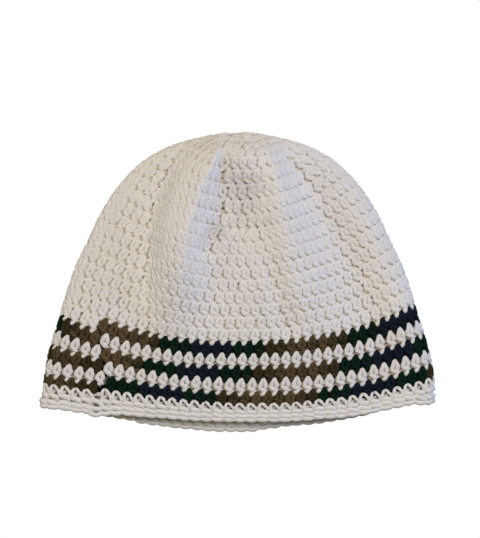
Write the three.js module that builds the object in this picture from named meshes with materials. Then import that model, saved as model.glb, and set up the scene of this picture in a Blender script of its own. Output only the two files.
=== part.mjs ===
// Crochet beanie, adult size, lying flat on its back layer.
//
// Units are millimetres. +Z is up, the crown points to +Y and the rim to -Y. The origin is
// at the middle of the bounding box's underside.
//
// The hat is a bag worked from the crown down in one spiral of single crochet. Lying down
// it is two layers of the same wall joined round the sides and the crown by a soft fold:
// a back layer flat on the table, and a front layer that stands up over it in a raised
// middle panel with a steep band at each side, a crease, and a few dents.
// The hollow between the layers is open at the rim, where the head goes in.
//
// One yarn makes the white crown and the white rounds, and a second, variegated yarn makes
// three single rounds near the rim. Each change of yarn is a piece of its own here. The
// rounds are one spiral, so a coloured round starts one row above the place where it ends,
// which shows as a step, the jog, at the left of the front.
import * as THREE from "three";

// ---- driving dimensions -------------------------------------------------------------
const WALL = 4.5; // thickness of the worked yarn
const PIECE_GAP = 0.3; // clearance between neighbouring pieces
const ROW = 8.3; // height of one round of stitches
const FRONT_COLUMNS = 38; // facets across the front layer, between the side folds
const BACK_COLUMNS = 22; // facets across the back layer
const FOLD_COLUMNS = 6; // facets round each side fold
const FOLD_SHARE = 0.024; // half of a side fold, as a share of the round
const FLAT_HEIGHT = 198.7; // top fold to the lowest edge of the back layer, as seen
const VIEW_TILT = THREE.MathUtils.degToRad(10); // the seen sizes below were taken this far off straight down
const CENTRE = { x: 0, y: -1.14 }; // moves the middle of the bounding box to the origin
const FOLD_RADIUS = 8; // how far the side fold's rounding reaches in from the outline
const FOLD_RISE = 7; // how far the front layer climbs within that rounding
const JOG_COLUMN = 4; // front facets between the left side fold and the jog
const RIM_TURN = 24.9; // rounds from the crown's middle to the rim's edge
const FULL_ROUND = 520; // length round the rim

// The outline of the flat hat, seen from above: drop below the top, and half width there.
const OUTLINE = [
  { drop: 0, half: 0 },
  { drop: 0.7, half: 10 },
  { drop: 3.3, half: 24 },
  { drop: 8.6, half: 43.6 },
  { drop: 16.5, half: 59.4 },
  { drop: 24.4, half: 69.3 },
  { drop: 40.3, half: 83.2 },
  { drop: 56.1, half: 92.7 },
  { drop: 71.9, half: 100 },
  { drop: 87.8, half: 107.6 },
  { drop: 103.6, half: 113.2 },
  { drop: 119.5, half: 117.8 },
  { drop: 135.3, half: 122.8 },
  { drop: 151.1, half: 127 },
  { drop: 167, half: 129 },
  { drop: 182, half: 129.4 },
];

// How the rounds lie. turn: rounds worked so far. edge: length along the outline from the
// top to the round. front, back: drop of the round at the middle of each layer. frontSag,
// backSag: power of the curve that the round follows between its middle and its ends.
// frontSkew, backSkew: how far it is pulled up to the left of the middle and down to the
// right. tilt: how far its left end hangs below the outline's and its right end above.
// foldZ: height of the side fold. frontZ, backZ: heights of the layers' outer faces at the
// middle, before the relief and the folds of the tables below.
const ROUNDS = [
  { turn: 0, edge: 0, front: 0, back: 0, frontSag: 2, frontSkew: 0, backSag: 2, backSkew: 0, tilt: 0, foldZ: 13, frontZ: 13, backZ: 13 },
  { turn: 1, edge: 9.7, front: 3.3, back: 1.6, frontSag: 2, frontSkew: 0, backSag: 2, backSkew: 0, tilt: 0, foldZ: 12, frontZ: 16, backZ: 5.6 },
  { turn: 2, edge: 19.4, front: 6.6, back: 7.4, frontSag: 2, frontSkew: 0, backSag: 2, backSkew: 0, tilt: 0, foldZ: 11, frontZ: 17.6, backZ: 1.2 },
  { turn: 3, edge: 29.1, front: 10.6, back: 15.8, frontSag: 2, frontSkew: 0, backSag: 2, backSkew: 0, tilt: 0, foldZ: 10.3, frontZ: 18.6, backZ: 0 },
  { turn: 4, edge: 38.8, front: 16.8, back: 24.4, frontSag: 2, frontSkew: 0, backSag: 2, backSkew: 0, tilt: 0, foldZ: 9.7, frontZ: 19.2, backZ: 0 },
  { turn: 6, edge: 58.2, front: 35.6, back: 41.4, frontSag: 2, frontSkew: 0, backSag: 2, backSkew: 0, tilt: 0, foldZ: 8.9, frontZ: 19.8, backZ: 0 },
  { turn: 9, edge: 87.3, front: 64.2, back: 66.6, frontSag: 2, frontSkew: 0, backSag: 2, backSkew: 0, tilt: 0, foldZ: 8.3, frontZ: 20, backZ: 0 },
  { turn: 12, edge: 116.4, front: 89.4, back: 91.6, frontSag: 2, frontSkew: 0, backSag: 2, backSkew: 0, tilt: 0, foldZ: 7.9, frontZ: 20, backZ: 0 },
  { turn: 16, edge: 155.2, front: 122.2, back: 124.8, frontSag: 2.25, frontSkew: -0.3, backSag: 2.25, backSkew: -0.3, tilt: 0, foldZ: 7.5, frontZ: 19.6, backZ: 0 },
  { turn: 18.75, edge: 183, front: 144.3, back: 147.6, frontSag: 2.55, frontSkew: -0.8, backSag: 2.5, backSkew: -0.8, tilt: 0, foldZ: 7.3, frontZ: 19, backZ: 0 },
  { turn: 20.75, edge: 204, front: 160.5, back: 164.2, frontSag: 2.25, frontSkew: 0.4, backSag: 2.1, backSkew: -0.1, tilt: 0.4, foldZ: 7.2, frontZ: 18, backZ: 0 },
  { turn: 22.75, edge: 224.7, front: 177.4, back: 180.8, frontSag: 1.8, frontSkew: 1.6, backSag: 1.7, backSkew: 0.4, tilt: 1.2, foldZ: 7.1, frontZ: 16.6, backZ: 0 },
  { turn: RIM_TURN, edge: 245.3, front: 191.3, back: 198.7, frontSag: 1.8, frontSkew: 1.5, backSag: 1.4, backSkew: -0.3, tilt: 1.9, foldZ: 7, frontZ: 14.2, backZ: 0 },
];

// The front layer's relief, as cross sections down from the top fold: where each named
// line of it runs, and how high the layer stands there above its plain face. The left
// foot and the brow bound a steep band, above which the left ridge lies. The ridge falls
// to the middle crease, and the middle rises again to a shoulder, which falls to a valley
// and a bulge beside it.
const RELIEF_LINES = ["foot", "brow", "ridge", "crease", "middle", "shoulder", "valley", "bulge", "side"];
const RELIEF = [
  { drop: 0, footX: -24, foot: 0, browX: -19, brow: 0, ridgeX: -14, ridge: 0, creaseX: -8, crease: 0, middleX: 4, middle: 0, shoulderX: 18, shoulder: 0, valleyX: 30, valley: 0, bulgeX: 44, bulge: 0, sideX: 60, side: 0 },
  { drop: 5, footX: -32, foot: 0, browX: -24, brow: 2.5, ridgeX: -14, ridge: 5, creaseX: -8.5, crease: 5, middleX: 4, middle: 5, shoulderX: 19, shoulder: 4, valleyX: 32, valley: 0, bulgeX: 46, bulge: 0, sideX: 66, side: 0 },
  { drop: 10, footX: -38, foot: 0, browX: -27, brow: 9, ridgeX: -14.5, ridge: 14, creaseX: -9, crease: 13, middleX: 4, middle: 14, shoulderX: 19, shoulder: 12.5, valleyX: 33, valley: 1, bulgeX: 50, bulge: 0, sideX: 74, side: 0 },
  { drop: 16.5, footX: -43, foot: 0, browX: -31, brow: 15, ridgeX: -15.5, ridge: 22, creaseX: -9.5, crease: 16.5, middleX: 4, middle: 20.5, shoulderX: 20, shoulder: 19, valleyX: 35, valley: 1, bulgeX: 56, bulge: 0.5, sideX: 80, side: 0 },
  { drop: 28, footX: -48, foot: 0, browX: -37, brow: 19.5, ridgeX: -21, ridge: 26, creaseX: -9.5, crease: 14, middleX: 4, middle: 17, shoulderX: 24, shoulder: 20.5, valleyX: 42, valley: -0.5, bulgeX: 64, bulge: 1.5, sideX: 88, side: 0 },
  { drop: 45, footX: -54, foot: 0, browX: -43.5, brow: 21.5, ridgeX: -28.5, ridge: 27, creaseX: -9, crease: 9.5, middleX: 5, middle: 9, shoulderX: 27, shoulder: 20, valleyX: 53, valley: -2.5, bulgeX: 76, bulge: 3, sideX: 98, side: 0 },
  { drop: 65, footX: -59, foot: 0.5, browX: -47.5, brow: 22, ridgeX: -35.5, ridge: 26.5, creaseX: -9.5, crease: 6.5, middleX: 5, middle: 7, shoulderX: 30, shoulder: 17.5, valleyX: 64, valley: -4, bulgeX: 87, bulge: 4.5, sideX: 108, side: 0 },
  { drop: 85, footX: -60.5, foot: 1, browX: -49.5, brow: 19, ridgeX: -38, ridge: 23, creaseX: -12, crease: 5.5, middleX: 5, middle: 8.5, shoulderX: 34, shoulder: 14, valleyX: 75, valley: -4.5, bulgeX: 97, bulge: 5, sideX: 115, side: 0 },
  { drop: 105, footX: -61, foot: 1, browX: -51, brow: 12.5, ridgeX: -39.5, ridge: 15.5, creaseX: -15, crease: 5, middleX: 6, middle: 7.5, shoulderX: 38, shoulder: 10.5, valleyX: 83, valley: -4.5, bulgeX: 104, bulge: 5, sideX: 120, side: 0 },
  { drop: 125, footX: -61.5, foot: 0.5, browX: -51.5, brow: 5.5, ridgeX: -40, ridge: 7, creaseX: -17, crease: 3.5, middleX: 7, middle: 4.5, shoulderX: 42, shoulder: 5.5, valleyX: 90, valley: -3.5, bulgeX: 109, bulge: 4, sideX: 124, side: 0 },
  { drop: 145, footX: -62, foot: 0, browX: -52, brow: 1, ridgeX: -40, ridge: 1.5, creaseX: -18, crease: 0.5, middleX: 8, middle: 1, shoulderX: 46, shoulder: 1.5, valleyX: 94, valley: -2, bulgeX: 112, bulge: 2, sideX: 127, side: 0 },
  { drop: 200, footX: -62, foot: 0, browX: -52, brow: 0, ridgeX: -40, ridge: 0, creaseX: -18, crease: 0, middleX: 8, middle: 0, shoulderX: 46, shoulder: 0, valleyX: 95, valley: 0, bulgeX: 113, bulge: 0, sideX: 128, side: 0 },
];

// Creases and dents on top of that relief, as seen: a centre line from one point to
// another, how far it reaches to either side, and its height, below 0 for a dent.
// sharp: 1 for a V crease, 0 for a round swell.
const FOLDS = [
  { name: "middle_crease", x0: -9, drop0: 14, x1: -10, drop1: 52, left: 6, right: 9, height: -2.5, sharp: 1 },
  { name: "panel_hollow", x0: 0, drop0: 40, x1: 4, drop1: 60, left: 13, right: 13, height: -2, sharp: 0 },
  { name: "panel_crease", x0: 15, drop0: 66, x1: 32, drop1: 128, left: 9, right: 11, height: -2.4, sharp: 0 },
  { name: "left_dimple", x0: -17, drop0: 69, x1: -20, drop1: 77, left: 9, right: 9, height: -6, sharp: 0 },
  { name: "left_swell", x0: -84, drop0: 70, x1: -92, drop1: 125, left: 16, right: 14, height: 2.5, sharp: 0 },
  { name: "stripe_swell", x0: -20, drop0: 145, x1: 30, drop1: 145, left: 22, right: 22, height: 1.2, sharp: 0 },
];

// The bands of yarn, top to rim: the round where each starts and ends, and how many rows
// its lower edge has dropped after one lap of the spiral (the jog).
const BANDS = [
  { name: "crown", yarn: "white", from: 0, to: 18, jog: 1 },
  { name: "stripe_round_1", yarn: "variegated", from: 18, to: 19, jog: 1 },
  { name: "white_round_1", yarn: "white", from: 19, to: 20, jog: 0.95 },
  { name: "stripe_round_2", yarn: "variegated", from: 20, to: 21, jog: 0.85 },
  { name: "white_round_2", yarn: "white", from: 21, to: 22, jog: 0.7 },
  { name: "stripe_round_3", yarn: "variegated", from: 22, to: 23, jog: 0 },
  { name: "rim_edging", yarn: "white", from: 23, to: RIM_TURN, jog: 0 },
];

// How far along its drop the spiral is, at shares of a lap from the jog.
const SPIRAL = [
  { lap: 0, drop: -0.34 },
  { lap: 0.03, drop: -0.29 },
  { lap: 0.06, drop: -0.23 },
  { lap: 0.1, drop: -0.13 },
  { lap: 0.2, drop: -0.04 },
  { lap: 0.43, drop: 0.08 },
  { lap: 0.75, drop: 0.5 },
  { lap: 0.93, drop: 0.73 },
  { lap: 1, drop: 0.66 },
];

const YARNS = {
  white: new THREE.MeshStandardMaterial({ color: 0xded9ce, roughness: 0.92, metalness: 0, flatShading: true }),
  variegated: new THREE.MeshStandardMaterial({ color: 0x3f3a2e, roughness: 0.92, metalness: 0, flatShading: true }),
};

// ---- interpolation --------------------------------------------------------------------
// A smooth curve through a table's column that never overshoots its rows.
function curve(table, key, column) {
  const x = table.map((r) => r[key]);
  const y = table.map((r) => r[column]);
  const n = x.length;
  const slope = x.slice(1).map((_, i) => (y[i + 1] - y[i]) / (x[i + 1] - x[i]));
  const m = x.map((_, i) => {
    if (i === 0) return slope[0];
    if (i === n - 1) return slope[n - 2];
    const a = slope[i - 1];
    const b = slope[i];
    return a * b <= 0 ? 0 : (2 * a * b) / (a + b);
  });
  return (v) => {
    if (v <= x[0]) return y[0];
    if (v >= x[n - 1]) return y[n - 1];
    let i = 0;
    while (v > x[i + 1]) i++;
    const h = x[i + 1] - x[i];
    const s = (v - x[i]) / h;
    const s2 = s * s;
    const s3 = s2 * s;
    return (
      y[i] * (2 * s3 - 3 * s2 + 1) +
      m[i] * h * (s3 - 2 * s2 + s) +
      y[i + 1] * (3 * s2 - 2 * s3) +
      m[i + 1] * h * (s3 - s2)
    );
  };
}

function smooth(lo, hi, v) {
  const s = THREE.MathUtils.clamp((v - lo) / (hi - lo), 0, 1);
  return s * s * (3 - 2 * s);
}

let along = 0;
OUTLINE.forEach((row, i) => {
  if (i) along += Math.hypot(row.drop - OUTLINE[i - 1].drop, row.half - OUTLINE[i - 1].half);
  row.along = along;
});
const outlineDrop = curve(OUTLINE, "along", "drop");
const outlineHalf = curve(OUTLINE, "along", "half");
const round = Object.fromEntries(
  Object.keys(ROUNDS[0]).map((c) => [c, curve(ROUNDS, "turn", c)]),
);
const reliefLines = RELIEF_LINES.map((name) => ({
  x: curve(RELIEF, "drop", `${name}X`),
  height: curve(RELIEF, "drop", name),
}));
const spiral = curve(SPIRAL, "lap", "drop");
const jogAt = curve(
  [{ turn: 0, jog: 1 }, ...BANDS.map((b) => ({ turn: b.to, jog: b.jog }))],
  "turn",
  "jog",
);

// ---- the front layer's relief ------------------------------------------------------------
function relief(x, drop) {
  const section = reliefLines.map((l) => ({ x: l.x(drop), height: l.height(drop) }));
  let z = curve(section, "x", "height")(x);
  for (const f of FOLDS) {
    const dx = f.x1 - f.x0;
    const dd = f.drop1 - f.drop0;
    const len2 = dx * dx + dd * dd;
    const s = THREE.MathUtils.clamp(((x - f.x0) * dx + (drop - f.drop0) * dd) / len2, 0, 1);
    const offX = x - (f.x0 + s * dx);
    const offD = drop - (f.drop0 + s * dd);
    const reach = offX < 0 ? f.left : f.right;
    const far = Math.hypot(offX / reach, offD / Math.max(f.left, f.right));
    if (far < 1) z += f.height * (f.sharp ? (1 - far) ** 1.5 : (1 - far * far) ** 2);
  }
  return z * smooth(0, 3, drop);
}

// ---- one round of the hat's outer face ------------------------------------------------
// across: -1 at the left fold to 1 at the right fold.
function facePoint(turn, across, isFront) {
  const half = outlineHalf(round.edge(turn));
  const edgeDrop = outlineDrop(round.edge(turn));
  const side = isFront ? "front" : "back";
  const midDrop = round[side](turn);
  const foldZ = round.foldZ(turn);
  const x = half * across;
  const drop =
    edgeDrop +
    (midDrop - edgeDrop) * (1 - Math.abs(across) ** round[`${side}Sag`](turn)) +
    round[`${side}Skew`](turn) * 2.6 * across * (1 - across * across) -
    round.tilt(turn) * across;
  const r = Math.min(half, FOLD_RADIUS);
  const q = r > 0 ? Math.max(0, (Math.abs(x) - (half - r)) / r) : 0;
  const bend = Math.sqrt(Math.max(0, 1 - q * q));
  let z;
  if (isFront) {
    const rise = round.frontZ(turn) - foldZ;
    const inFold = Math.min(rise, FOLD_RISE);
    z = foldZ + inFold * bend + (rise - inFold) * (1 - across * across);
    z += relief(x, drop) * (1 - Math.abs(across) ** 5);
  } else {
    z = foldZ - (foldZ - round.backZ(turn)) * bend;
  }
  // From the seen drop to the true distance along the table.
  const seen = FLAT_HEIGHT / 2 - drop;
  const y = (seen - z * Math.sin(VIEW_TILT)) / Math.cos(VIEW_TILT);
  return new THREE.Vector3(x - CENTRE.x, y - CENTRE.y, z);
}

// Where the facets' edges run, as shares of the round from the left fold, and then as
// laps from the jog, so that the side folds have finer facets than the layers between.
const stations = [
  [-FOLD_SHARE, FOLD_SHARE, FOLD_COLUMNS],
  [FOLD_SHARE, 0.5 - FOLD_SHARE, FRONT_COLUMNS],
  [0.5 - FOLD_SHARE, 0.5 + FOLD_SHARE, FOLD_COLUMNS],
  [0.5 + FOLD_SHARE, 1 - FOLD_SHARE, BACK_COLUMNS],
].flatMap(([from, to, count]) =>
  Array.from({ length: count }, (_, i) => from + ((to - from) * i) / count),
);
const JOG_SHARE = stations[FOLD_COLUMNS + JOG_COLUMN];
const COLUMN_LAPS = [
  ...stations.map((s) => (s < JOG_SHARE - 1e-9 ? s + 1 : s) - JOG_SHARE).sort((a, b) => a - b),
  1,
];

// A closed round as a list of points with their distance along it, from the left fold
// over the front to the right fold and home along the back.
const roundCache = new Map();
function closedRound(turn) {
  const key = turn.toFixed(5);
  if (roundCache.has(key)) return roundCache.get(key);
  const STEPS = 150;
  const points = [];
  for (let i = 0; i <= STEPS; i++)
    points.push(facePoint(turn, -Math.cos((Math.PI * i) / STEPS), true));
  for (let i = 1; i <= STEPS; i++)
    points.push(facePoint(turn, Math.cos((Math.PI * i) / STEPS), false));
  const at = [0];
  for (let i = 1; i < points.length; i++) at.push(at[i - 1] + points[i].distanceTo(points[i - 1]));
  const made = { points, at, frontLength: at[STEPS], length: at[at.length - 1] };
  roundCache.set(key, made);
  return made;
}

// The outer face at a turn and a share of the lap from the jog. The front and the back
// layer each hold half of the round.
function outer(turn, lap) {
  if (turn <= 0) return facePoint(0, 0, false);
  const r = closedRound(turn);
  const share = (((lap + JOG_SHARE) % 1) + 1) % 1;
  const d =
    share < 0.5
      ? 2 * share * r.frontLength
      : r.frontLength + (2 * share - 1) * (r.length - r.frontLength);
  let lo = 0;
  let hi = r.at.length - 1;
  while (hi - lo > 1) {
    const mid = (lo + hi) >> 1;
    if (r.at[mid] > d) hi = mid;
    else lo = mid;
  }
  const s = (d - r.at[lo]) / (r.at[hi] - r.at[lo]);
  return r.points[lo].clone().lerp(r.points[hi], s);
}

function outwardNormal(turn, lap) {
  const dt = 0.12;
  const dl = 0.004;
  const t0 = Math.max(turn, 0.35);
  const down = outer(t0 + dt, lap).sub(outer(t0 - dt, lap));
  const round = outer(t0, lap + dl).sub(outer(t0, lap - dl));
  return down.cross(round).normalize();
}

function inner(turn, lap) {
  if (turn <= 0) {
    const n = new THREE.Vector3();
    for (const l of COLUMN_LAPS) n.add(outwardNormal(0, l));
    return outer(0, 0).addScaledVector(n.normalize(), -WALL);
  }
  return outer(turn, lap).addScaledVector(outwardNormal(turn, lap), -WALL);
}

// ---- closed walls --------------------------------------------------------------------
class Shell {
  constructor() {
    this.position = [];
    this.index = [];
    this.known = new Map();
  }
  vertex(p) {
    const key = [p.x, p.y, p.z].map((v) => Math.round(v * 1e4)).join();
    if (!this.known.has(key)) {
      this.known.set(key, this.position.length / 3);
      this.position.push(p.x, p.y, p.z);
    }
    return this.known.get(key);
  }
  triangle(a, b, c) {
    const [i, j, k] = [a, b, c].map((p) => this.vertex(p));
    if (i !== j && j !== k && k !== i) this.index.push(i, j, k);
  }
  quad(a, b, c, d) {
    this.triangle(a, b, c);
    this.triangle(a, c, d);
  }
  geometry() {
    const g = new THREE.BufferGeometry();
    g.setAttribute("position", new THREE.Float32BufferAttribute(this.position, 3));
    g.setIndex(this.index);
    g.computeVertexNormals();
    return g;
  }
}

// rows: functions of the lap that give the turn, top to bottom. closed: the band meets
// itself at the jog; otherwise its two ends are capped.
function band(rows, closed) {
  const shell = new Shell();
  const COLUMNS = COLUMN_LAPS.length - 1;
  const trim = closed ? 0 : PIECE_GAP / 2 / FULL_ROUND;
  const laps = COLUMN_LAPS.map((lap) => THREE.MathUtils.clamp(lap, trim, 1 - trim));
  const grid = (place) => rows.map((row) => laps.map((lap) => place(row(lap), lap)));
  const out = grid(outer);
  const inn = grid(inner);
  if (closed) {
    for (const g of [out, inn])
      for (const line of g)
        if (line[0].distanceTo(line[COLUMNS]) < 1e-3) line[COLUMNS] = line[0];
  }
  const last = rows.length - 1;
  for (let j = 0; j < COLUMNS; j++) {
    for (let i = 0; i < last; i++) {
      shell.quad(out[i][j], out[i + 1][j], out[i + 1][j + 1], out[i][j + 1]);
      shell.quad(inn[i][j], inn[i][j + 1], inn[i + 1][j + 1], inn[i + 1][j]);
    }
    shell.quad(out[last][j], inn[last][j], inn[last][j + 1], out[last][j + 1]);
    if (out[0][0].distanceTo(out[0][1]) > 1e-3)
      shell.quad(out[0][j], out[0][j + 1], inn[0][j + 1], inn[0][j]);
  }
  for (let i = 0; i < last; i++) {
    const apart = out[i + 1][0].distanceTo(out[i + 1][COLUMNS]) > 1e-3;
    if (!apart) continue;
    if (!closed)
      shell.quad(out[i][0], inn[i][0], inn[i + 1][0], out[i + 1][0]);
    shell.quad(out[i][COLUMNS], out[i + 1][COLUMNS], inn[i + 1][COLUMNS], inn[i][COLUMNS]);
  }
  return shell.geometry();
}

// The lower edge of a band that ends at a turn, with the spiral's drop.
const edgeAt = (turn, shift = 0) => (lap) => turn + jogAt(turn) * spiral(lap) + shift;
const level = (turn) => () => turn;
const half = PIECE_GAP / 2 / ROW;

const group = new THREE.Group();
group.name = "crochet_beanie";
for (const b of BANDS) {
  let rows;
  let closed = false;
  if (b.name === "crown") {
    // Level rounds down to where the coloured yarn starts, then the wedge that the spiral
    // adds below them, which ends in a step at the jog.
    const start = b.to + jogAt(b.to) * spiral(0) - half;
    const levels = [0, 0.5, 1.1, 1.8, 2.5, 3.2, 4, 5, 6, 7, 8, 9.2, 10.5, 11.8, 13.2, 14.7, 16.2];
    rows = [...levels.map(level), level(start), edgeAt(b.to, -half)];
    closed = true;
  } else if (b.name === "rim_edging") {
    const middle = (b.from + b.to) / 2;
    rows = [level(b.from + half), level(middle), level(b.to)];
    closed = true;
  } else {
    rows = [edgeAt(b.from, half), edgeAt(b.to, -half)];
  }
  const mesh = new THREE.Mesh(band(rows, closed), YARNS[b.yarn]);
  mesh.name = b.name;
  group.add(mesh);
}

export default group;
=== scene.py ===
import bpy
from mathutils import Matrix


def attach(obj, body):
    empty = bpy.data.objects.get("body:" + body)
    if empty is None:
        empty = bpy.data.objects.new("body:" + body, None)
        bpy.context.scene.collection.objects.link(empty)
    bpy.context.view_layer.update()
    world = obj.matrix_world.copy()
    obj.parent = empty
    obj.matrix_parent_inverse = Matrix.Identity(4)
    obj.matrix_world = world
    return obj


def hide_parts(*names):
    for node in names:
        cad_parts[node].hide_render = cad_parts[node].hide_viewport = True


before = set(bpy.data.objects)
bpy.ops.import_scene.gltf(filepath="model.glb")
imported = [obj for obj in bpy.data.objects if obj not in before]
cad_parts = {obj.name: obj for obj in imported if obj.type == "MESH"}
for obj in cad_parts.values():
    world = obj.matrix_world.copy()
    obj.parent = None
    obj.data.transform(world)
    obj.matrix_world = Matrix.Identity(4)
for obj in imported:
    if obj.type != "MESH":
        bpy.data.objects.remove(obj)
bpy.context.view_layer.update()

import math

import bpy
import numpy as np
from mathutils import Matrix, Vector

# A crochet beanie lying on its back layer. The outer face of the worked fabric is the
# CAD part's: the tables and the mapping below repeat it, in millimetres. Every stitch is
# then laid on that face as the loop of yarn that it really is.

MM = 0.001

# ---- the hat's outer face -------------------------------------------------------------
WALL = 4.5
FLAT_HEIGHT = 198.7
VIEW_TILT = math.radians(10)
CENTRE_X, CENTRE_Y = 0.0, -1.14
FOLD_RADIUS = 8.0
FOLD_RISE = 7.0
FOLD_SHARE = 0.024
JOG_SHARE = FOLD_SHARE + 4 * (0.5 - 2 * FOLD_SHARE) / 38
RIM_TURN = 24.9

OUTLINE = dict(
    drop=[0, 0.7, 3.3, 8.6, 16.5, 24.4, 40.3, 56.1, 71.9, 87.8, 103.6, 119.5, 135.3, 151.1, 167, 182],
    half=[0, 10, 24, 43.6, 59.4, 69.3, 83.2, 92.7, 100, 107.6, 113.2, 117.8, 122.8, 127, 129, 129.4],
)
ROUNDS = dict(
    turn=[0, 1, 2, 3, 4, 6, 9, 12, 16, 18.75, 20.75, 22.75, RIM_TURN],
    edge=[0, 9.7, 19.4, 29.1, 38.8, 58.2, 87.3, 116.4, 155.2, 183, 204, 224.7, 245.3],
    front=[0, 3.3, 6.6, 10.6, 16.8, 35.6, 64.2, 89.4, 122.2, 144.3, 160.5, 177.4, 191.3],
    back=[0, 1.6, 7.4, 15.8, 24.4, 41.4, 66.6, 91.6, 124.8, 147.6, 164.2, 180.8, 198.7],
    frontSag=[2, 2, 2, 2, 2, 2, 2, 2, 2.25, 2.55, 2.25, 1.8, 1.8],
    frontSkew=[0, 0, 0, 0, 0, 0, 0, 0, -0.3, -0.8, 0.4, 1.6, 1.5],
    backSag=[2, 2, 2, 2, 2, 2, 2, 2, 2.25, 2.5, 2.1, 1.7, 1.4],
    backSkew=[0, 0, 0, 0, 0, 0, 0, 0, -0.3, -0.8, -0.1, 0.4, -0.3],
    tilt=[0, 0, 0, 0, 0, 0, 0, 0, 0, 0, 0.4, 1.2, 1.9],
    foldZ=[13, 12, 11, 10.3, 9.7, 8.9, 8.3, 7.9, 7.5, 7.3, 7.2, 7.1, 7],
    frontZ=[13, 16, 17.6, 18.6, 19.2, 19.8, 20, 20, 19.6, 19, 18, 16.6, 14.2],
    backZ=[13, 5.6, 1.2, 0, 0, 0, 0, 0, 0, 0, 0, 0, 0],
)
# The front layer's relief: where each named line runs at a drop, and its height there.
RELIEF_DROPS = [0, 5, 10, 16.5, 28, 45, 65, 85, 105, 125, 145, 200]
RELIEF = dict(
    foot=dict(x=[-24, -32, -38, -43, -48, -54, -59, -60.5, -61, -61.5, -62, -62], height=[0, 0, 0, 0, 0, 0, 0.5, 1, 1, 0.5, 0, 0]),
    brow=dict(x=[-19, -24, -27, -31, -37, -43.5, -47.5, -49.5, -51, -51.5, -52, -52], height=[0, 2.5, 9, 15, 19.5, 21.5, 22, 19, 12.5, 5.5, 1, 0]),
    ridge=dict(x=[-14, -14, -14.5, -15.5, -21, -28.5, -35.5, -38, -39.5, -40, -40, -40], height=[0, 5, 14, 22, 26, 27, 26.5, 23, 15.5, 7, 1.5, 0]),
    crease=dict(x=[-8, -8.5, -9, -9.5, -9.5, -9, -9.5, -12, -15, -17, -18, -18], height=[0, 5, 13, 16.5, 14, 9.5, 6.5, 5.5, 5, 3.5, 0.5, 0]),
    middle=dict(x=[4, 4, 4, 4, 4, 5, 5, 5, 6, 7, 8, 8], height=[0, 5, 14, 20.5, 17, 9, 7, 8.5, 7.5, 4.5, 1, 0]),
    shoulder=dict(x=[18, 19, 19, 20, 24, 27, 30, 34, 38, 42, 46, 46], height=[0, 4, 12.5, 19, 20.5, 20, 17.5, 14, 10.5, 5.5, 1.5, 0]),
    valley=dict(x=[30, 32, 33, 35, 42, 53, 64, 75, 83, 90, 94, 95], height=[0, 0, 1, 1, -0.5, -2.5, -4, -4.5, -4.5, -3.5, -2, 0]),
    bulge=dict(x=[44, 46, 50, 56, 64, 76, 87, 97, 104, 109, 112, 113], height=[0, 0, 0, 0.5, 1.5, 3, 4.5, 5, 5, 4, 2, 0]),
    side=dict(x=[60, 66, 74, 80, 88, 98, 108, 115, 120, 124, 127, 128], height=[0, 0, 0, 0, 0, 0, 0, 0, 0, 0, 0, 0]),
)
# x0, drop0, x1, drop1, left, right, height, sharp
FOLDS = dict(
    middle_crease=(-9, 14, -10, 52, 6, 9, -2.5, 1),
    panel_hollow=(0, 40, 4, 60, 13, 13, -2, 0),
    panel_crease=(15, 66, 32, 128, 9, 11, -2.4, 0),
    left_dimple=(-17, 69, -20, 77, 9, 9, -6, 0),
    left_swell=(-84, 70, -92, 125, 16, 14, 2.5, 0),
    stripe_swell=(-20, 145, 30, 145, 22, 22, 1.2, 0),
)
JOGS = dict(turn=[0, 18, 19, 20, 21, 22, 23, RIM_TURN], jog=[1, 1, 1, 0.95, 0.85, 0.7, 0, 0])
SPIRAL = dict(lap=[0, 0.03, 0.06, 0.1, 0.2, 0.43, 0.75, 0.93, 1], drop=[-0.34, -0.29, -0.23, -0.13, -0.04, 0.08, 0.5, 0.73, 0.66])


def curve(xs, ys):
    """A smooth curve through a table's column that never overshoots its rows."""
    x, y = np.asarray(xs, float), np.asarray(ys, float)
    slope = np.diff(y) / np.diff(x)
    m = np.zeros_like(y)
    m[0], m[-1] = slope[0], slope[-1]
    a, b = slope[:-1], slope[1:]
    same = a * b > 0
    m[1:-1][same] = 2 * a[same] * b[same] / (a[same] + b[same])

    def at(v):
        v = np.clip(v, x[0], x[-1])
        i = np.clip(np.searchsorted(x, v, side="right") - 1, 0, len(x) - 2)
        h = x[i + 1] - x[i]
        s = (v - x[i]) / h
        s2, s3 = s * s, s * s * s
        return (
            y[i] * (2 * s3 - 3 * s2 + 1)
            + m[i] * h * (s3 - 2 * s2 + s)
            + y[i + 1] * (3 * s2 - 2 * s3)
            + m[i + 1] * h * (s3 - s2)
        )

    return at


def smooth(lo, hi, v):
    s = np.clip((v - lo) / (hi - lo), 0, 1)
    return s * s * (3 - 2 * s)


chords = np.hypot(np.diff(OUTLINE["drop"]), np.diff(OUTLINE["half"]))
along = np.concatenate([[0], np.cumsum(chords)])
outline_drop = curve(along, OUTLINE["drop"])
outline_half = curve(along, OUTLINE["half"])
rounds = {c: curve(ROUNDS["turn"], ROUNDS[c]) for c in ROUNDS if c != "turn"}
relief_lines = [(curve(RELIEF_DROPS, c["x"]), curve(RELIEF_DROPS, c["height"])) for c in RELIEF.values()]
jog_at = curve(JOGS["turn"], JOGS["jog"])
spiral_in = curve(SPIRAL["lap"], SPIRAL["drop"])


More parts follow.
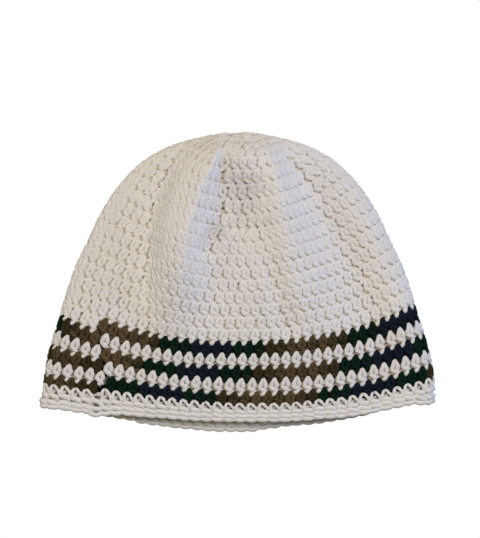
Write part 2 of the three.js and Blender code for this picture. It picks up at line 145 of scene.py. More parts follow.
def relief_base(x, drop):
    """Height on the smooth curve through the section's named lines, at each point's drop."""
    x, drop = np.broadcast_arrays(x, drop)
    at = np.stack([line(drop) for line, _ in relief_lines])
    high = np.stack([line(drop) for _, line in relief_lines])
    slope = np.diff(high, axis=0) / np.diff(at, axis=0)
    m = np.zeros_like(high)
    m[0], m[-1] = slope[0], slope[-1]
    a, b = slope[:-1], slope[1:]
    same = a * b > 0
    m[1:-1] = np.where(same, 2 * a * b / np.where(same, a + b, 1), 0)
    v = np.clip(x, at[0], at[-1])
    i = np.clip((v[None] >= at).sum(0) - 1, 0, len(at) - 2)[None]
    pick = lambda g, k: np.take_along_axis(g, k, 0)[0]
    x0, h = pick(at, i), pick(at, i + 1) - pick(at, i)
    s = (v - x0) / h
    s2, s3 = s * s, s * s * s
    return (
        pick(high, i) * (2 * s3 - 3 * s2 + 1)
        + pick(m, i) * h * (s3 - 2 * s2 + s)
        + pick(high, i + 1) * (3 * s2 - 2 * s3)
        + pick(m, i + 1) * h * (s3 - s2)
    )


def relief(x, drop):
    z = relief_base(x, drop)
    for x0, d0, x1, d1, left, right, height, sharp in FOLDS.values():
        dx, dd = x1 - x0, d1 - d0
        s = np.clip(((x - x0) * dx + (drop - d0) * dd) / (dx * dx + dd * dd), 0, 1)
        off_x, off_d = x - (x0 + s * dx), drop - (d0 + s * dd)
        far = np.hypot(off_x / np.where(off_x < 0, left, right), off_d / max(left, right))
        near = np.clip(1 - far, 0, 1)
        z = z + height * (near**1.5 if sharp else np.where(far < 1, (1 - far * far) ** 2, 0))
    return z * smooth(0, 3, drop)


def face_point(turn, across, is_front):
    edge = rounds["edge"](turn)
    half, edge_drop = outline_half(edge), outline_drop(edge)
    side = "front" if is_front else "back"
    mid_drop = rounds[side](turn)
    fold_z = rounds["foldZ"](turn)
    x = half * across
    drop = edge_drop + (mid_drop - edge_drop) * (1 - np.abs(across) ** rounds[side + "Sag"](turn))
    drop = drop + rounds[side + "Skew"](turn) * 2.6 * across * (1 - across * across) - rounds["tilt"](turn) * across
    r = np.maximum(np.minimum(half, FOLD_RADIUS), 1e-9)
    q = np.clip((np.abs(x) - (half - r)) / r, 0, 1)
    bend = np.sqrt(np.clip(1 - q * q, 0, 1))
    if is_front:
        rise = rounds["frontZ"](turn) - fold_z
        in_fold = np.minimum(rise, FOLD_RISE)
        z = fold_z + in_fold * bend + (rise - in_fold) * (1 - across * across)
        z = z + relief(x, drop) * (1 - np.abs(across) ** 5)
    else:
        z = fold_z - (fold_z - rounds["backZ"](turn)) * bend
    y = ((FLAT_HEIGHT / 2 - drop) - z * math.sin(VIEW_TILT)) / math.cos(VIEW_TILT)
    return np.stack(np.broadcast_arrays(x - CENTRE_X, y - CENTRE_Y, z), -1)


# The face on a grid of turns and laps, carried on a little past the rim.
TURN_STEP = 0.1
TURNS = np.arange(0, RIM_TURN + 0.05, TURN_STEP)
LAPS = 1080
STEPS = 300


def face_grid():
    c = np.cos(np.pi * np.arange(STEPS + 1) / STEPS)
    front = face_point(TURNS[:, None], -c[None, :], True)
    back = face_point(TURNS[:, None], c[None, 1:], False)
    points = np.concatenate([front, back], 1)
    step = np.linalg.norm(np.diff(points, axis=1), axis=2)
    at = np.concatenate([np.zeros((len(TURNS), 1)), np.cumsum(step, 1)], 1)
    share = (np.arange(LAPS) / LAPS + JOG_SHARE) % 1
    grid = np.empty((len(TURNS), LAPS, 3))
    for i in range(len(TURNS)):
        front_len, full = at[i, STEPS], at[i, -1]
        # stitches are as wide in the front layer's folds as at the back
        d = (front_len / 2 + (share - 0.25) * full) % full
        for a in range(3):
            grid[i, :, a] = np.interp(d, at[i], points[i, :, a])
    grid[0] = face_point(np.zeros(1), np.zeros(1), False)[0]
    past = [grid[-1] + (grid[-1] - grid[-3]) / 2 * n for n in range(1, 8)]
    return np.concatenate([grid, np.array(past)], 0)


P = face_grid()


def face_normals(p):
    n = len(p)
    lo = np.clip(np.arange(n) - 3, 0, n - 1)
    hi = np.clip(np.arange(n) + 3, 0, n - 1)
    lo[:4], hi[:4] = 1, 7
    down = p[hi] - p[lo]
    across = np.roll(p, -6, 1) - np.roll(p, 6, 1)
    across[0] = across[1]
    normal = np.cross(down, across)
    normal /= np.linalg.norm(normal, axis=2, keepdims=True)
    return normal


NORMALS = face_normals(P)
pole = NORMALS[0].mean(0)
pole /= np.linalg.norm(pole)
for row in range(12):
    mix = smooth(0, 12, row)
    n = NORMALS[row] * mix + pole * (1 - mix)
    NORMALS[row] = n / np.linalg.norm(n, axis=1, keepdims=True)


def on_face(turn, lap, depth):
    """The point at a turn and a lap, so many millimetres out of the face."""
    r = np.clip(turn / TURN_STEP, 0, len(P) - 1.001)
    c = (lap % 1) * LAPS
    i, j = np.floor(r).astype(int), np.floor(c).astype(int) % LAPS
    fr, fc = (r - i)[..., None], (c - np.floor(c))[..., None]
    j1 = (j + 1) % LAPS

    def mix(g):
        top = g[i, j] * (1 - fc) + g[i, j1] * fc
        low = g[i + 1, j] * (1 - fc) + g[i + 1, j1] * fc
        return top * (1 - fr) + low * fr

    return mix(P) + mix(NORMALS) * depth[..., None]


# ---- stitches -------------------------------------------------------------------------
# The rounds grow by eight stitches each until there is this many, and then stay so. The
# part of a stitch over whole ones is what sets each round half a stitch off the last.
ROUND_GROWTH = 8
FULL_STITCHES = 72.6
SPIRAL_ROUNDS = 23  # and then one closed round of edging
EDGE_STEP = 0.25  # what is left of the spiral's step where the edging starts
EDGING_SHIFT = 0.14  # how far an edging stitch's body lies to the right of its hole
LEAN = -0.1  # how far each stitch leans against the hole that it is worked into
YARN = 1.55  # half the thickness of the yarn
SINGLE_ROUND_YARN = 1.36  # the same in the white rounds between the stripes, drawn tighter

# One single crochet as the path of its yarn. u: stitches to the right of its middle.
# v: rows below the hole that it was worked into. w: depth from the outer face. r: share of
# the yarn's thickness, which is less where the yarn is pulled tight.
SINGLE = [
    # up the inside and out through the hole
    (-0.42, 0.56, -3.8, 0.9),
    (-0.28, 0.34, -3.9, 0.9),
    (-0.07, 0.07, -3.2, 0.6),
    (-0.04, 0.05, -2.3, 0.55),
    # the left leg
    (-0.07, 0.16, -1.5, 0.85),
    (-0.16, 0.36, -1.5, 1.05),
    (-0.23, 0.56, -1.6, 1.15),
    (-0.23, 0.70, -2.1, 1.08),
    (-0.11, 0.82, -3.1, 0.95),
    (0.0, 0.86, -3.5, 0.9),
    # the right leg
    (0.12, 0.82, -3.1, 0.95),
    (0.25, 0.71, -2.1, 1.08),
    (0.255, 0.56, -1.6, 1.17),
    (0.17, 0.36, -1.5, 1.05),
    (0.075, 0.16, -1.5, 0.85),
    (0.04, 0.05, -2.3, 0.55),
    # in through the hole and up the inside
    (0.07, 0.07, -3.2, 0.6),
    (0.02, 0.36, -3.1, 1.0),
    (-0.06, 0.58, -3.1, 1.0),
    # the chain: out beside the left leg, across the stitch and on to the next
    (-0.33, 0.64, -2.7, 0.9),
    (-0.27, 0.75, -1.7, 1.05),
    (-0.06, 0.87, -1.45, 1.18),
    (0.15, 0.96, -1.6, 1.15),
    (0.35, 1.06, -2.6, 0.9),
    (0.62, 1.20, -2.9, 0.85),
    (0.86, 1.27, -2.0, 0.95),
    (1.04, 1.19, -1.6, 1.1),
    (1.18, 1.06, -2.4, 0.92),
    (1.18, 0.99, -3.4, 0.88),
    # and its back strand
    (1.0, 1.00, -3.9, 0.95),
    (0.58, 0.90, -4.3, 1.05),
    (0.2, 0.88, -3.9, 0.95),
    (0.24, 0.66, -3.9, 0.9),
]
# How far the edging is pulled down from its even line, front and back, in millimetres.
EDGE_PULL = dict(
    x=[-130, -120, -108, -98, -88, -78, -60, -20, 10, 28, 38, 60, 85, 97, 114, 125, 130],
    front=[1.5, 1.8, 2.0, 2.4, 1.4, 0.2, 0.5, 0.5, 0.3, 0.3, 0.3, 0.3, 0, -1.3, -1.3, 1.2, 1.2],
    back=[1.2, 0.3, -1.0, -0.8, 0.2, 0.2, 1.1, 1.1, 0.7, -0.2, 0.3, 1.2, 0.5, -2.2, -2.2, 0.6, 0.6],
)
EDGE_FLARE = 2.2  # how far the left corner of the edging stands out of the hat's side
CHAIN_ON = 9  # points of it from where the chain leaves for the next stitch
# The last round's stitch: nothing is worked into its chain, which lies along the edge.
EDGING = [
    # up the inside and out through the hole
    (-0.46, 0.74, -3.8, 0.85),
    (-0.34, 0.42, -3.8, 0.8),
    (-0.16, 0.10, -3.2, 0.6),
    (-0.07, 0.03, -2.1, 0.6),
    # the left leg, short and steep
    (-0.19, 0.15, -1.4, 0.74),
    (-0.31, 0.36, -1.3, 0.80),
    (-0.34, 0.58, -1.6, 0.86),
    (-0.24, 0.82, -2.9, 0.85),
    (0.06, 0.90, -3.4, 0.85),
    # the right leg, long and leaning to the right
    (0.38, 0.80, -2.9, 0.85),
    (0.45, 0.58, -1.6, 0.86),
    (0.34, 0.35, -1.3, 0.80),
    (0.17, 0.14, -1.3, 0.74),
    (0.03, 0.03, -1.9, 0.6),
    (0.04, 0.12, -3.3, 0.6),
    (0.06, 0.44, -3.9, 0.8),
    (-0.34, 0.66, -3.6, 0.85),
    # the knot below the legs
    (-0.46, 0.84, -2.7, 0.9),
    (-0.29, 0.82, -1.55, 1.08),
    (-0.05, 0.85, -1.2, 1.22),
    (0.20, 0.90, -1.5, 1.12),
    (0.38, 0.99, -2.7, 0.9),
    (0.08, 1.10, -3.5, 0.9),
    # the bar of chain along the edge, which runs on under the next
    (-0.58, 1.18, -2.8, 0.9),
    (-0.34, 1.21, -1.7, 1.06),
    (-0.03, 1.28, -1.3, 1.2),
    (0.28, 1.34, -1.6, 1.1),
    (0.54, 1.42, -2.6, 0.95),
    # and its back strand
    (0.56, 1.54, -3.0, 0.92),
    (0.30, 1.64, -2.3, 1.02),
    (-0.04, 1.68, -2.0, 1.08),
    (-0.36, 1.63, -2.2, 1.02),
    (-0.60, 1.52, -3.0, 0.9),
    (-0.10, 1.20, -3.8, 0.9),
    (0.40, 0.92, -3.8, 0.85),
]

# Where the edging closes: the yarn's end is knotted off over the gap between the last
# stitch and the first, and hangs a little below the edge. u is in stitches from the gap's
# middle, and the other columns are as above.
FASTENING = [
    (0.55, 0.30, -3.9, 0.8),
    (-0.10, 0.42, -3.9, 0.9),
    (-0.70, 0.62, -3.9, 0.8),
    (-0.75, 1.10, -3.4, 0.8),
    (-0.62, 0.92, -2.0, 0.95),
    (-0.30, 0.84, -1.0, 1.05),
    (0.10, 0.90, -0.9, 1.05),
    (0.42, 1.06, -1.3, 1.0),
    (0.46, 1.26, -1.6, 1.0),
    (0.16, 1.36, -1.2, 1.05),
    (-0.26, 1.30, -1.0, 1.05),
    (-0.56, 1.36, -1.3, 1.0),
    (-0.66, 1.56, -1.8, 1.0),
    (-0.40, 1.74, -1.7, 1.05),
    (0.00, 1.80, -1.5, 1.05),
    (0.34, 1.72, -1.9, 0.95),
    (0.44, 1.56, -2.8, 0.85),
    (0.10, 1.46, -3.6, 0.85),
    (-0.44, 1.20, -3.7, 0.85),
    (-0.30, 0.90, -3.4, 0.85),
    (0.30, 0.86, -3.0, 0.9),
    (0.62, 1.02, -3.2, 0.85),
    (0.30, 1.24, -3.9, 0.8),
]


def spiral(lap):
    inside = spiral_in(lap)
    before = SPIRAL["drop"][0] + lap * (SPIRAL["drop"][1] - SPIRAL["drop"][0]) / SPIRAL["lap"][1]
    after = SPIRAL["drop"][-1] + (lap - 1) * 1.2
    return np.where(lap < 0, before, np.where(lap > 1, after, inside))


def line(k, lap):
    """The turn of the line that round k + 1 is worked from, and that round k ends at."""
    t = k + (EDGE_STEP if k == SPIRAL_ROUNDS else jog_at(k)) * spiral(lap)
    return np.maximum(t, 0.12 + 0.1 * smooth(0, 1, lap)) if k == 0 else t


def stitch_places():
    """Laps from the start of the spiral to each stitch, and laps to the hole it is worked in."""
    s = np.linspace(0, SPIRAL_ROUNDS, 23001)
    density = np.minimum(ROUND_GROWTH * (s + 0.5), FULL_STITCHES)
    count = np.concatenate([[0], np.cumsum((density[1:] + density[:-1]) / 2 * np.diff(s))])
    necks = np.interp(np.arange(0.5, count[-1], 1.0), count, s)
    pitch = 1 / np.interp(necks, s, density)
    holes = (necks[1:] + necks[:-1]) / 2
    # one edging stitch in each hole of the last round
    ring = holes[holes >= SPIRAL_ROUNDS - 1] + 1
    necks = np.concatenate([necks, ring + EDGING_SHIFT / FULL_STITCHES])
    pitch = np.concatenate([pitch, np.full(len(ring), 1 / FULL_STITCHES)])
    bases = necks.copy()
    for i in np.nonzero(necks >= 1)[0]:
        want = necks[i] - 1 - (LEAN if necks[i] < SPIRAL_ROUNDS else EDGING_SHIFT) * pitch[i]
        bases[i] = holes[np.argmin(np.abs(holes - want))] + 1
    return necks, bases, pitch


NECKS, BASES, PITCH = stitch_places()
ROUND_COUNT = SPIRAL_ROUNDS + 1
# The yarn is changed a stitch early or late in some rounds: stitches past the jog.
CHANGES = {18: -1, 21: 1, 22: 1}
STARTS = [np.searchsorted(NECKS, k - 1e-9) + CHANGES.get(k, 0) for k in range(ROUND_COUNT)] + [len(NECKS)]


def jitter(rng, shape, size):
    return np.clip(rng.normal(0, size, shape), -2.2 * size, 2.2 * size)


def round_path(k, template):
    """Control points of the yarn of the round after round k: position, radius and stitch number."""
    rng = np.random.default_rng(7000 + k)
    chosen = slice(STARTS[k], STARTS[k + 1])
    n = STARTS[k + 1] - STARTS[k]
    t = np.array(template, float)
    j = np.arange(n)
    neck, base, pitch = NECKS[chosen] - k, BASES[chosen] - k, PITCH[chosen]
    u = t[None, :, 0] + jitter(rng, (n, 1), 0.02) + jitter(rng, (n, len(t)), 0.008)
    v = t[None, :, 1] + jitter(rng, (n, 1), 0.02) + jitter(rng, (n, len(t)), 0.008)
    w = t[None, :, 2] + jitter(rng, (n, 1), 0.10) + jitter(rng, (n, len(t)), 0.05)
    thick = SINGLE_ROUND_YARN if k in (19, 21) else YARN
    r = t[None, :, 3] * (1 + jitter(rng, (n, 1), 0.03)) * thick
    blend = smooth(0, 0.8, v)
    lap = base[:, None] + (neck - base)[:, None] * blend + u * pitch[:, None]
    top, low = line(k, lap), line(k + 1, lap)
    turn = top + (low - top) * v
    # near the crown's middle there is no room for the yarn's full thickness
    w = np.minimum(w, -r - 0.15)
    pos = on_face(turn, lap, w)
    if template is EDGING:
        pull_edge(pos, v)
    stitch = j[:, None] + np.linspace(0, 1, len(t), endpoint=False)[None, :]
    # where the next round is another yarn, the last stitch's chain doesn't run on
    end = n * len(t) - (CHAIN_ON if k >= 17 and template is SINGLE else 0)
    return tuple(c[:end] for c in (pos.reshape(-1, 3), r.ravel(), stitch.ravel(), w.ravel(), ring_gap(w).ravel()))


def pull_edge(pos, v):
    """Moves the edging's points, which are v rows below their holes, to its uneven line."""
    share = smooth(0.5, 1.3, v)
    x = pos[..., 0].copy()
    front = curve(EDGE_PULL["x"], EDGE_PULL["front"])(x)
    back = curve(EDGE_PULL["x"], EDGE_PULL["back"])(x)
    pos[..., 1] -= share * (back + (front - back) * smooth(4, 9, pos[..., 2]))
    pos[..., 0] -= share * EDGE_FLARE * smooth(114, 128, -x)


def ring_gap(depth):
    """The strands on the inner face are made coarser."""
    return np.where(depth < -2.65, INNER_GAP, OUTER_GAP)


def fastening_path():
    t = np.array(FASTENING, float)
    first, last = NECKS[STARTS[-2]] - SPIRAL_ROUNDS, NECKS[-1] - SPIRAL_ROUNDS - 1
    lap = (first + last) / 2 + t[:, 0] / FULL_STITCHES
    pos = on_face(SPIRAL_ROUNDS + t[:, 1], lap, t[:, 2])
    pull_edge(pos, t[:, 1])
    return pos, t[:, 3] * YARN, 0 * t[:, 2], t[:, 2], ring_gap(t[:, 2])


def spline(points, extra, fine=7):
    """A centripetal Catmull-Rom curve through points, with extra columns along it."""
    gap = np.maximum(np.linalg.norm(np.diff(points, axis=0), axis=1), 1e-4) ** 0.5
    t = np.concatenate([[0], np.cumsum(gap)])
    data = np.column_stack([points, extra])
    m = np.empty_like(data)
    m[1:-1] = (data[2:] - data[:-2]) / (t[2:] - t[:-2])[:, None]
    m[0] = (data[1] - data[0]) / gap[0]
    m[-1] = (data[-1] - data[-2]) / gap[-1]
    s = np.linspace(0, 1, fine, endpoint=False)[None, :, None]
    h = gap[:, None, None]
    a, b = data[:-1, None], data[1:, None]
    out = (
        a * (2 * s**3 - 3 * s**2 + 1)
        + m[:-1, None] * h * (s**3 - 2 * s**2 + s)
        + b * (3 * s**2 - 2 * s**3)
        + m[1:, None] * h * (s**3 - s**2)
    ).reshape(-1, data.shape[1])
    return np.vstack([out, data[-1:]])


def resample(path):
    """Even rings along the path, whose last column is how far apart they are. Returns the
    other columns at the rings, and the length along the yarn there."""
    step = np.linalg.norm(np.diff(path[:, :3], axis=0), axis=1)
    arc = np.concatenate([[0], np.cumsum(step)])
    at = np.concatenate([[0], np.cumsum(step * 2 / (path[1:, -1] + path[:-1, -1]))])
    want = np.linspace(0, at[-1], int(at[-1]))
    return np.column_stack([np.interp(want, at, path[:, c]) for c in range(path.shape[1] - 1)]), np.interp(want, at, arc)


def frames(points):
    """Directions across the path that turn as little as they can (double reflection)."""
    tangent = np.gradient(points, axis=0)
    tangent /= np.linalg.norm(tangent, axis=1, keepdims=True) + 1e-12
    first = np.cross(tangent[0], (0.3, 0.2, 1.0))
    first /= np.linalg.norm(first)
    side = np.empty_like(points)
    side[0] = first
    rx, ry, rz = first
    pts, tan = points.tolist(), tangent.tolist()
    for i in range(len(pts) - 1):
        (ax, ay, az), (bx, by, bz) = pts[i], pts[i + 1]
        (tx, ty, tz), (ux, uy, uz) = tan[i], tan[i + 1]
        vx, vy, vz = bx - ax, by - ay, bz - az
        c = vx * vx + vy * vy + vz * vz
        if c > 1e-12:
            d = 2 / c * (vx * rx + vy * ry + vz * rz)
            rx, ry, rz = rx - d * vx, ry - d * vy, rz - d * vz
            d = 2 / c * (vx * tx + vy * ty + vz * tz)
            tx, ty, tz = tx - d * vx, ty - d * vy, tz - d * vz
        wx, wy, wz = ux - tx, uy - ty, uz - tz
        c = wx * wx + wy * wy + wz * wz
        if c > 1e-12:
            d = 2 / c * (wx * rx + wy * ry + wz * rz)
            rx, ry, rz = rx - d * wx, ry - d * wy, rz - d * wz
        length = math.sqrt(rx * rx + ry * ry + rz * rz)
        rx, ry, rz = rx / length, ry / length, rz / length
        side[i + 1] = (rx, ry, rz)
    return side, np.cross(tangent, side)


SIDES = 8
OUTER_GAP, INNER_GAP = 1.18, 2.0  # length of yarn between two rings of a tube
PLY_LAY = 7.0  # length in which a ply goes once round the yarn


class Yarn:
    """Tubes gathered into one mesh, with the length along the yarn and round it as UV."""

    def __init__(self):
        self.verts, self.quads, self.caps, self.uv, self.colour = [], [], [], [], []
        self.count = 0

    def add(self, points, radius, arc, colour):
        n = len(points)
        side, other = frames(points)
        angle = 2 * np.pi * np.arange(SIDES) / SIDES
        ring = (
            points[:, None]
            + radius[:, None, None] * (np.cos(angle)[None, :, None] * side[:, None] + np.sin(angle)[None, :, None] * other[:, None])
        )
        self.verts.append(ring.reshape(-1, 3))
        i = np.arange(n - 1)[:, None] * SIDES
        s = np.arange(SIDES)[None, :]
        s1 = (s + 1) % SIDES
        quads = np.stack([i + s, i + s1, i + SIDES + s1, i + SIDES + s], -1).reshape(-1, 4) + self.count
        self.quads.append(quads)
        u = arc / PLY_LAY
        v0 = np.broadcast_to(s / SIDES, (n - 1, SIDES))
        v1 = v0 + 1 / SIDES
        u0 = np.broadcast_to(u[:-1, None], v0.shape)
        u1 = np.broadcast_to(u[1:, None], v0.shape)
        self.uv.append(np.stack([np.stack([u0, v0], -1), np.stack([u0, v1], -1), np.stack([u1, v1], -1), np.stack([u1, v0], -1)], -2).reshape(-1, 2))
        self.caps.append(np.arange(SIDES)[::-1] + self.count)
        self.caps.append(np.arange(SIDES) + self.count + (n - 1) * SIDES)
        self.colour.append(np.repeat(colour, SIDES, axis=0))
        self.count += n * SIDES

    def piece(self, name, material):
        verts = np.concatenate(self.verts) * MM
        quads = np.concatenate(self.quads)
        caps = np.array(self.caps)
        mesh = bpy.data.meshes.new(name)
        mesh.vertices.add(len(verts))
        mesh.vertices.foreach_set("co", verts.astype(np.float32).ravel())
        loops = np.concatenate([quads.ravel(), caps.ravel()])
        starts = np.concatenate([np.arange(len(quads)) * 4, len(quads) * 4 + np.arange(len(caps)) * SIDES])
        mesh.loops.add(len(loops))
        mesh.loops.foreach_set("vertex_index", loops.astype(np.int32))
        mesh.polygons.add(len(starts))
        mesh.polygons.foreach_set("loop_start", starts.astype(np.int32))
        mesh.polygons.foreach_set("use_smooth", np.ones(len(starts), bool))
        uv = np.concatenate(self.uv + [np.zeros((caps.size, 2))]).astype(np.float32)
        layer = mesh.uv_layers.new(name="yarn")
        mesh.update(calc_edges=True)
        mesh.uv_layers["yarn"].data.foreach_set("uv", uv.ravel())
        rgb = np.concatenate(self.colour)
        rgba = np.column_stack([rgb, np.ones(len(rgb))]).astype(np.float32)
        # The dye attribute holds the dyes' colours, and on the white yarn painted warm light and painted shade deep
        # in the fabric.
        attribute = mesh.color_attributes.new("dye", "FLOAT_COLOR", "POINT")
        attribute.data.foreach_set("color", rgba.ravel())
        mesh.validate()
        mesh.materials.append(material)
        thing = bpy.data.objects.new(name, mesh)
        bpy.context.scene.collection.objects.link(thing)
        return thing


# ---- colours of the variegated yarn ----------------------------------------------------
def from_srgb(r, g, b):
    c = np.array([r, g, b]) / 255
    return np.where(c <= 0.04045, c / 12.92, ((c + 0.055) / 1.055) ** 2.4)


DYES = dict(
    olive=from_srgb(75, 65, 38),
    brown=from_srgb(95, 80, 54),
    tan=from_srgb(121, 101, 67),
    green=from_srgb(13, 46, 29),
    navy=from_srgb(30, 39, 53),
)
# The dye runs of each striped round from the jog, left to right over the front and home
# along the back: dye and stitches.
DYE_RUNS = dict(
    stripe_round_1=[("brown", 5.8), ("green", 2.9), ("navy", 4.0), ("green", 3.0), ("brown", 7.9), ("green", 3.1), ("navy", 4.9), ("green", 2.9), ("brown", 8), ("green", 3), ("navy", 4.3), ("green", 3), ("brown", 8), ("green", 3), ("navy", 3), ("green", 2.1), ("brown", 4.3)],
    stripe_round_2=[("brown", 3.7), ("green", 3.3), ("navy", 3.8), ("green", 2.9), ("brown", 8.1), ("green", 2.6), ("navy", 4.5), ("green", 2.9), ("brown", 8), ("green", 3), ("navy", 4.2), ("green", 3), ("brown", 8), ("green", 2.8), ("navy", 3.2), ("green", 2.4), ("brown", 4.8), ("olive", 2)],
    stripe_round_3=[("green", 2.9), ("navy", 4.0), ("green", 2.9), ("brown", 8.9), ("green", 2.8), ("navy", 4.2), ("green", 3.2), ("brown", 8.9), ("green", 2.9), ("navy", 4.2), ("green", 3), ("brown", 8.9), ("green", 2.9), ("navy", 2.4), ("green", 2.0), ("brown", 6.7), ("olive", 1.8)],
)


def dye_colours(name, stitch):
    """Colour at each stitch number, with short blends where one dye runs into the next."""
    at, rgb = [], []
    start = 0
    for dye, length in DYE_RUNS[name]:
        end = start + length
        if dye == "brown":
            stops = [(0.25, "olive"), (1.3, "olive"), (2.2, "brown"), (length * 0.42, "tan"), (length * 0.6, "brown"), (length * 0.75, "tan"), (length - 1.6, "brown"), (length - 0.25, "olive")]
            stops = [(o, d) for o, d in stops if 0 < o < length]
            stops.sort()
            if start == 0:  # no other dye comes before it at the jog
                stops = [(0.2, "tan"), (min(2.4, length - 2), "tan")] + [s for s in stops if s[0] > length - 1.8]
            if end > FULL_STITCHES - 1:  # nor after it
                stops = [s for s in stops if s[0] < length - 0.3]
        else:
            stops = [(0.2, dye), (length - 0.2, dye)]
        for offset, d in stops:
            at.append(start + offset)
            rgb.append(DYES[d])
        start = end
    rgb = np.array(rgb)
    return np.column_stack([np.interp(stitch, at, rgb[:, c]) for c in range(3)])


# White yarn on the outer face, and deep in the fabric painted warmer, as painted light that stands in for
# the light that comes through the yarn and warms the holes.
WHITE_OUTSIDE = np.array([0.93, 0.895, 0.83])
WHITE_DEEP_PAINTED_WARM_LIGHT = np.array([0.90, 0.79, 0.56])


# Painted shade: white yarn deep between two dark rounds is painted darker and browner, standing in for the shadow in
# the holes there.
WHITE_DEEP_PAINTED_SHADE = np.array([0.60, 0.50, 0.35])  # deep between two dark rounds


def white_colours(depth, inside=WHITE_DEEP_PAINTED_WARM_LIGHT, much=1.0):
    # Deep in the fabric the yarn is painted towards the deep colour it is given: painted warm light in most rounds,
    # painted shade in the white rounds between the stripes, whose outer colour is also painted 5 percent darker as
    # painted shade.
    shade = WHITE_OUTSIDE * (0.95 if inside is WHITE_DEEP_PAINTED_SHADE else 1.0)
    return shade + (inside - shade) * much * smooth(2.6, 3.8, -depth)[:, None]


# ---- materials ---------------------------------------------------------------------------
def yarn_material(name, dyed):
    """Matt spun acrylic: four plies twisted together, loose fibres, a little sheen."""
    mat = bpy.data.materials.new(name)
    mat.use_nodes = True
    nodes, links = mat.node_tree.nodes, mat.node_tree.links
    nodes.clear()
    out = nodes.new("ShaderNodeOutputMaterial")
    shader = nodes.new("ShaderNodeBsdfPrincipled")
    links.new(shader.outputs["BSDF"], out.inputs["Surface"])
    shader.inputs["Roughness"].default_value = 0.92
    shader.inputs["Specular IOR Level"].default_value = 0.12
    shader.inputs["Sheen Weight"].default_value = 0.0 if dyed else 0.08
    shader.inputs["Sheen Roughness"].default_value = 0.6

    coords = nodes.new("ShaderNodeTexCoord")
    split = nodes.new("ShaderNodeSeparateXYZ")
    links.new(coords.outputs["UV"], split.inputs[0])

    def math_node(op, a, b=None):
        node = nodes.new("ShaderNodeMath")
        node.operation = op
        for i, v in enumerate([a, b]):
            if v is None:
                continue
            if isinstance(v, (int, float)):
                node.inputs[i].default_value = v
            else:
                links.new(v, node.inputs[i])
        return node.outputs[0]

    # plies: ridges that wind round the yarn
    turn = math_node("ADD", math_node("MULTIPLY", split.outputs["Y"], 4.0), math_node("MULTIPLY", split.outputs["X"], 4.0))
    wave = math_node("SINE", math_node("MULTIPLY", turn, 2 * math.pi))
    ridge = math_node("MULTIPLY", math_node("ADD", wave, 1.0), 0.5)
    # fibres: fine noise drawn out along the plies
    fibre = nodes.new("ShaderNodeTexNoise")
    fibre.inputs["Scale"].default_value = 1300.0
    fibre.inputs["Detail"].default_value = 3.0
    links.new(coords.outputs["Object"], fibre.inputs["Vector"])
    height = math_node("ADD", math_node("MULTIPLY", ridge, 0.7), math_node("MULTIPLY", fibre.outputs["Fac"], 0.8))
    bump = nodes.new("ShaderNodeBump")
    bump.inputs["Strength"].default_value = 0.55
    bump.inputs["Distance"].default_value = 0.0005
    links.new(height, bump.inputs["Height"])
    links.new(bump.outputs["Normal"], shader.inputs["Normal"])

    # colour: the yarn's own, mottled by the spinning, with painted shade that makes it darker between the plies
    shade = nodes.new("ShaderNodeMix")
    shade.data_type = "RGBA"
    shade.blend_type = "MULTIPLY"
    shade.inputs[0].default_value = 1.0
    tone = nodes.new("ShaderNodeValToRGB")
    low, spread = (0.16, 0.14) if dyed else (0.86, 0.25)
    tone.color_ramp.elements[0].position = 0.5 - spread
    tone.color_ramp.elements[0].color = (low, low, low * (1 if dyed else 0.96), 1)
    tone.color_ramp.elements[1].position = 0.5 + spread
    tone.color_ramp.elements[1].color = (1, 1, 1, 1)
    # share of the painted shade between the plies in the colour's tone
    plies = 0.15 if dyed else 0.35
    blend = math_node("ADD", math_node("MULTIPLY", ridge, plies), math_node("MULTIPLY", fibre.outputs["Fac"], 1 - plies))
    links.new(blend, tone.inputs["Fac"])
    # the dye attribute: real dyes, and on the white yarn painted warm light and painted shade deep in the fabric
    dye = nodes.new("ShaderNodeAttribute")
    dye.attribute_name = "dye"
    links.new(dye.outputs["Color"], shade.inputs["A"])
    links.new(tone.outputs["Color"], shade.inputs["B"])
    links.new(shade.outputs["Result"], shader.inputs["Base Color"])
    return mat


white = yarn_material("white_yarn", False)
variegated = yarn_material("variegated_yarn", True)

# ---- the pieces ----------------------------------------------------------------------------
# name, CAD node, slot, first round, last round
PIECES = [
    ("crown_rounds_1_to_7", "crown", "white_yarn", 1, 7),
    ("crown_rounds_8_to_10", "crown", "white_yarn", 8, 10),
    ("crown_rounds_11_to_13", "crown", "white_yarn", 11, 13),
    ("crown_rounds_14_to_16", "crown", "white_yarn", 14, 16),
    ("crown_rounds_17_and_18", "crown", "white_yarn", 17, 18),
    ("stripe_stitches_1", "stripe_round_1", "variegated_yarn", 19, 19),
    ("white_stitches_1", "white_round_1", "white_yarn", 20, 20),
    ("stripe_stitches_2", "stripe_round_2", "variegated_yarn", 21, 21),
    ("white_stitches_2", "white_round_2", "white_yarn", 22, 22),
    ("stripe_stitches_3", "stripe_round_3", "variegated_yarn", 23, 23),
    ("edging_stitches", "rim_edging", "white_yarn", 24, 24),
]

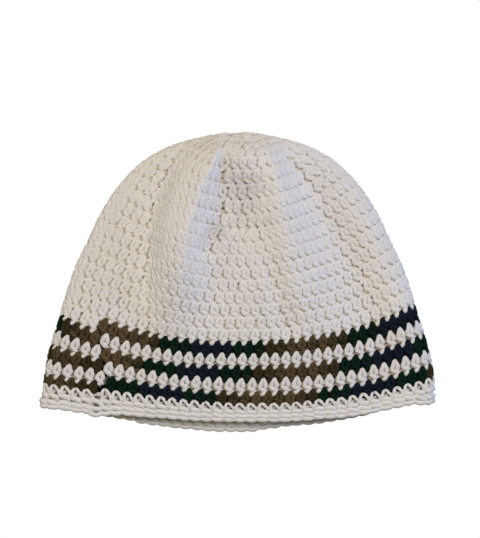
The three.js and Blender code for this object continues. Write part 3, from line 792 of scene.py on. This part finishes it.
triangles = 0
for name, node, slot, first, last in PIECES:
    yarn = Yarn()
    for k in range(first - 1, last):
        points, *extra = round_path(k, EDGING if k == SPIRAL_ROUNDS else SINGLE)
        path, arc = resample(spline(points, np.column_stack(extra)))
        # White yarn is painted warmer deep in the fabric as painted light (less of it in the edging), and painted
        # darker as painted shade in the white rounds between the stripes.
        if slot == "variegated_yarn":
            colour = dye_colours(node, path[:, 4])
        elif k == SPIRAL_ROUNDS:
            colour = white_colours(path[:, 5], much=0.3)
        else:
            colour = white_colours(path[:, 5], WHITE_DEEP_PAINTED_SHADE if k > 17 else WHITE_DEEP_PAINTED_WARM_LIGHT)
        yarn.add(path[:, :3], path[:, 3], arc, colour)
    if node == "rim_edging":
        points, *extra = fastening_path()
        path, arc = resample(spline(points, np.column_stack(extra)))
        yarn.add(path[:, :3], path[:, 3], arc, white_colours(path[:, 5], much=0.3))
    thing = yarn.piece(name, variegated if slot == "variegated_yarn" else white)
    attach(thing, "root")
    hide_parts(node)
    faces = len(thing.data.loops) - 2 * len(thing.data.polygons)
    triangles += faces
    print(name, faces)
print("triangles", triangles)

# ---- floor, lights, camera ---------------------------------------------------------------
floor_mesh = bpy.data.meshes.new("floor")
floor_mesh.from_pydata([(-4, -4, 0), (4, -4, 0), (4, 4, 0), (-4, 4, 0)], [], [(0, 1, 2, 3)])
floor = bpy.data.objects.new("floor", floor_mesh)
bpy.context.scene.collection.objects.link(floor)
floor.visible_diffuse = False
floor.visible_glossy = False
paper = bpy.data.materials.new("white_paper")
paper.use_nodes = True
sheen = paper.node_tree.nodes["Principled BSDF"]
sheen.inputs["Base Color"].default_value = (0, 0, 0, 1)
sheen.inputs["Emission Color"].default_value = (1, 1, 1, 1)
sheen.inputs["Emission Strength"].default_value = 1.0
sheen.inputs["Roughness"].default_value = 0.9
sheen.inputs["Specular IOR Level"].default_value = 0.1
floor_mesh.materials.append(paper)

scene = bpy.context.scene
scene.view_settings.view_transform = "Standard"
scene.view_settings.look = "None"
scene.view_settings.exposure = 0.0
scene.view_settings.gamma = 1.0

world = bpy.data.worlds.new("studio")
world.use_nodes = True
world.node_tree.nodes["Background"].inputs["Color"].default_value = (0.9, 0.93, 1.0, 1)
world.node_tree.nodes["Background"].inputs["Strength"].default_value = 0.03
scene.world = world


def area_light(name, place, size, power, colour):
    lamp = bpy.data.lights.new(name, "AREA")
    lamp.shape = "DISK"
    lamp.size = size
    lamp.energy = power
    lamp.color = colour
    thing = bpy.data.objects.new(name, lamp)
    thing.location = place
    thing.rotation_euler = Vector(place).to_track_quat("Z", "Y").to_euler()
    scene.collection.objects.link(thing)


area_light("ceiling", (0.1, 0.2, 2.3), 1.2, 29.8, (0.90, 0.87, 1.0))
area_light("window", (2.0, 0.2, 0.6), 1.2, 20.6, (0.44, 0.59, 1.0))
area_light("room_left", (-1.9, 0.0, 0.9), 1.2, 9.2, (1.0, 0.985, 0.894))
area_light("room_top", (-0.1, 1.85, 1.2), 1.2, 11.0, (1.0, 0.84, 0.34))
area_light("room_front", (0.2, -2.0, 0.8), 1.2, 4.6, (0.95, 0.87, 0.35))

PHOTO_HEIGHT = 0.3551  # what the photograph's height covers at the hat
DISTANCE = 4.0
camera_data = bpy.data.cameras.new("camera")
camera_data.lens = 36 * DISTANCE / PHOTO_HEIGHT
camera_data.sensor_width = 36
camera_data.clip_end = 50
camera = bpy.data.objects.new("camera", camera_data)
scene.collection.objects.link(camera)
look_at = Vector((0.00066, 0.00954, 0))
elevation = math.pi / 2 - VIEW_TILT
back = Vector((0, -math.cos(elevation), math.sin(elevation)))
camera.location = look_at + back * DISTANCE
camera.rotation_euler = back.to_track_quat("Z", "Y").to_euler()
scene.camera = camera
